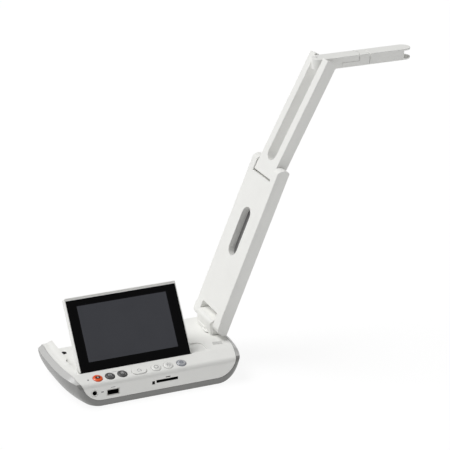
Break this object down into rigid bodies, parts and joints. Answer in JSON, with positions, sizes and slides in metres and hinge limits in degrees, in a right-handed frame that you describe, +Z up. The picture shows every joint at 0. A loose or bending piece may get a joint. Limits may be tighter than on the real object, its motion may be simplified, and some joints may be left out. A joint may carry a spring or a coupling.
{
  "type": "desktop electronic magnifier",
  "caption": "Desktop document camera with a tilting screen and buttons on a low wide base, and a folding flat arm that ends in a swivelling camera head.",
  "frame": {"origin": "middle of the centre foot's underside, below the middle of the base, on the table", "axes": "+X along the base towards the arm and the way the camera head points, +Y to the back of the base, +Z up"},
  "size_m": [0.4525, 0.1127, 0.349],
  "materials": {
    "white_plastic": "satin",
    "grey_plastic": "satin",
    "dark_plastic": "satin",
    "orange_plastic": "satin",
    "power_button_plastic": "satin",
    "screen_glass": "polished",
    "lens_glass": "polished",
    "lamp_plastic": "clear",
    "rubber": "matte",
    "steel": "brushed",
    "circuit_board": "matte"
  },
  "bodies": {
    "base": {"lower_shell": "grey_plastic", "top_case": "white_plastic", "ballast_plate": "steel", "main_board": "circuit_board", "speaker": "dark_plastic", "button_board": "circuit_board", "rubber_keypad": "rubber", "front_foot": "rubber", "centre_foot": "rubber", "back_foot": "rubber", "case_screw_1": "steel", "case_screw_2": "steel", "case_screw_3": "steel", "case_screw_4": "steel", "audio_jack": "rubber", "usb_port": "steel", "card_slot": "dark_plastic", "card_led_window": "dark_plastic", "power_inlet": "dark_plastic", "hdmi_port": "steel", "usb_device_port": "steel", "well_bumper": "rubber", "status_led": "lamp_plastic", "mic_grille": "grey_plastic", "microphone": "steel", "arm_base_block": "white_plastic", "base_hinge_sleeve": "rubber", "screen_pin_left": "steel", "screen_pin_right": "steel"},
    "screen": {"screen_front_frame": "white_plastic", "screen_back_cover": "white_plastic", "screen_glass": "screen_glass", "display_module": "dark_plastic"},
    "lower_arm": {"lower_arm_shell": "white_plastic", "lower_arm_cover": "white_plastic", "lower_arm_recess_liner": "dark_plastic", "base_hinge_pin": "steel", "elbow_pin": "steel"},
    "upper_arm": {"upper_arm_shell": "white_plastic", "rail_cover_front": "white_plastic", "rail_cover_back": "white_plastic", "elbow_sleeve": "rubber", "head_hinge_pin": "steel"},
    "head_root": {"head_root": "white_plastic", "swivel_pin": "steel"},
    "swivel_link": {"swivel_link": "white_plastic", "roll_spigot": "steel"},
    "camera_head": {"camera_head_shell": "white_plastic", "camera_head_cover": "white_plastic", "lens_window": "lens_glass", "lamp_window": "lamp_plastic", "camera_barrel": "dark_plastic", "camera_board": "circuit_board"},
    "record_button": {"record_button": "orange_plastic"},
    "zoom_out_button": {"zoom_out_button": "dark_plastic"},
    "zoom_in_button": {"zoom_in_button": "dark_plastic"},
    "home_button": {"home_button": "white_plastic"},
    "focus_button": {"focus_button": "white_plastic"},
    "brightness_button": {"brightness_button": "white_plastic"},
    "power_button": {"power_button": "power_button_plastic"}
  },
  "joints": [
    {"name": "lcd_tilt", "type": "hinge", "parent": "base", "child": "screen", "pos_m": [0, -0.0319, 0.02921], "axis": [-1, 0, 0], "range_deg": [0, 55]},
    {"name": "base_arm", "type": "hinge", "parent": "base", "child": "lower_arm", "pos_m": [0.0973, 0.02085, 0.0462], "axis": [0, 1, 0], "range_deg": [-55, 0]},
    {"name": "elbow", "type": "hinge", "parent": "lower_arm", "child": "upper_arm", "pos_m": [0.16864, 0.02085, 0.22014], "axis": [0, 1, 0], "range_deg": [-5, 100]},
    {"name": "head_hinge", "type": "hinge", "parent": "upper_arm", "child": "head_root", "pos_m": [0.2312, 0.02085, 0.34033], "axis": [0, 1, 0], "range_deg": [-60, 117]},
    {"name": "head_swivel", "type": "hinge", "parent": "head_root", "child": "swivel_link", "pos_m": [0.2636, 0.02085, 0.34033], "axis": [0, 0, 1], "range_deg": [-90, 0]},
    {"name": "head_roll", "type": "hinge", "parent": "swivel_link", "child": "camera_head", "pos_m": [0.2885, 0.02085, 0.34033], "axis": [1, 0, 0], "range_deg": [-90, 90]},
    {"name": "record_press", "type": "slide", "parent": "base", "child": "record_button", "axis": [0, 0.2555, -0.9668], "range_m": [0, 0.0008], "stiffness_N_per_m": 400, "springref_m": -0.0005},
    {"name": "zoom_out_press", "type": "slide", "parent": "base", "child": "zoom_out_button", "axis": [0, 0.2555, -0.9668], "range_m": [0, 0.0008], "stiffness_N_per_m": 400, "springref_m": -0.0005},
    {"name": "zoom_in_press", "type": "slide", "parent": "base", "child": "zoom_in_button", "axis": [0, 0.2555, -0.9668], "range_m": [0, 0.0008], "stiffness_N_per_m": 400, "springref_m": -0.0005},
    {"name": "home_press", "type": "slide", "parent": "base", "child": "home_button", "axis": [0, 0.2555, -0.9668], "range_m": [0, 0.0008], "stiffness_N_per_m": 400, "springref_m": -0.0005},
    {"name": "focus_press", "type": "slide", "parent": "base", "child": "focus_button", "axis": [0, 0.2555, -0.9668], "range_m": [0, 0.0008], "stiffness_N_per_m": 400, "springref_m": -0.0005},
    {"name": "brightness_press", "type": "slide", "parent": "base", "child": "brightness_button", "axis": [0, 0.2555, -0.9668], "range_m": [0, 0.0008], "stiffness_N_per_m": 400, "springref_m": -0.0005},
    {"name": "power_press", "type": "slide", "parent": "base", "child": "power_button", "axis": [0, 0.2555, -0.9668], "range_m": [0, 0.0008], "stiffness_N_per_m": 400, "springref_m": -0.0005}
  ]
}
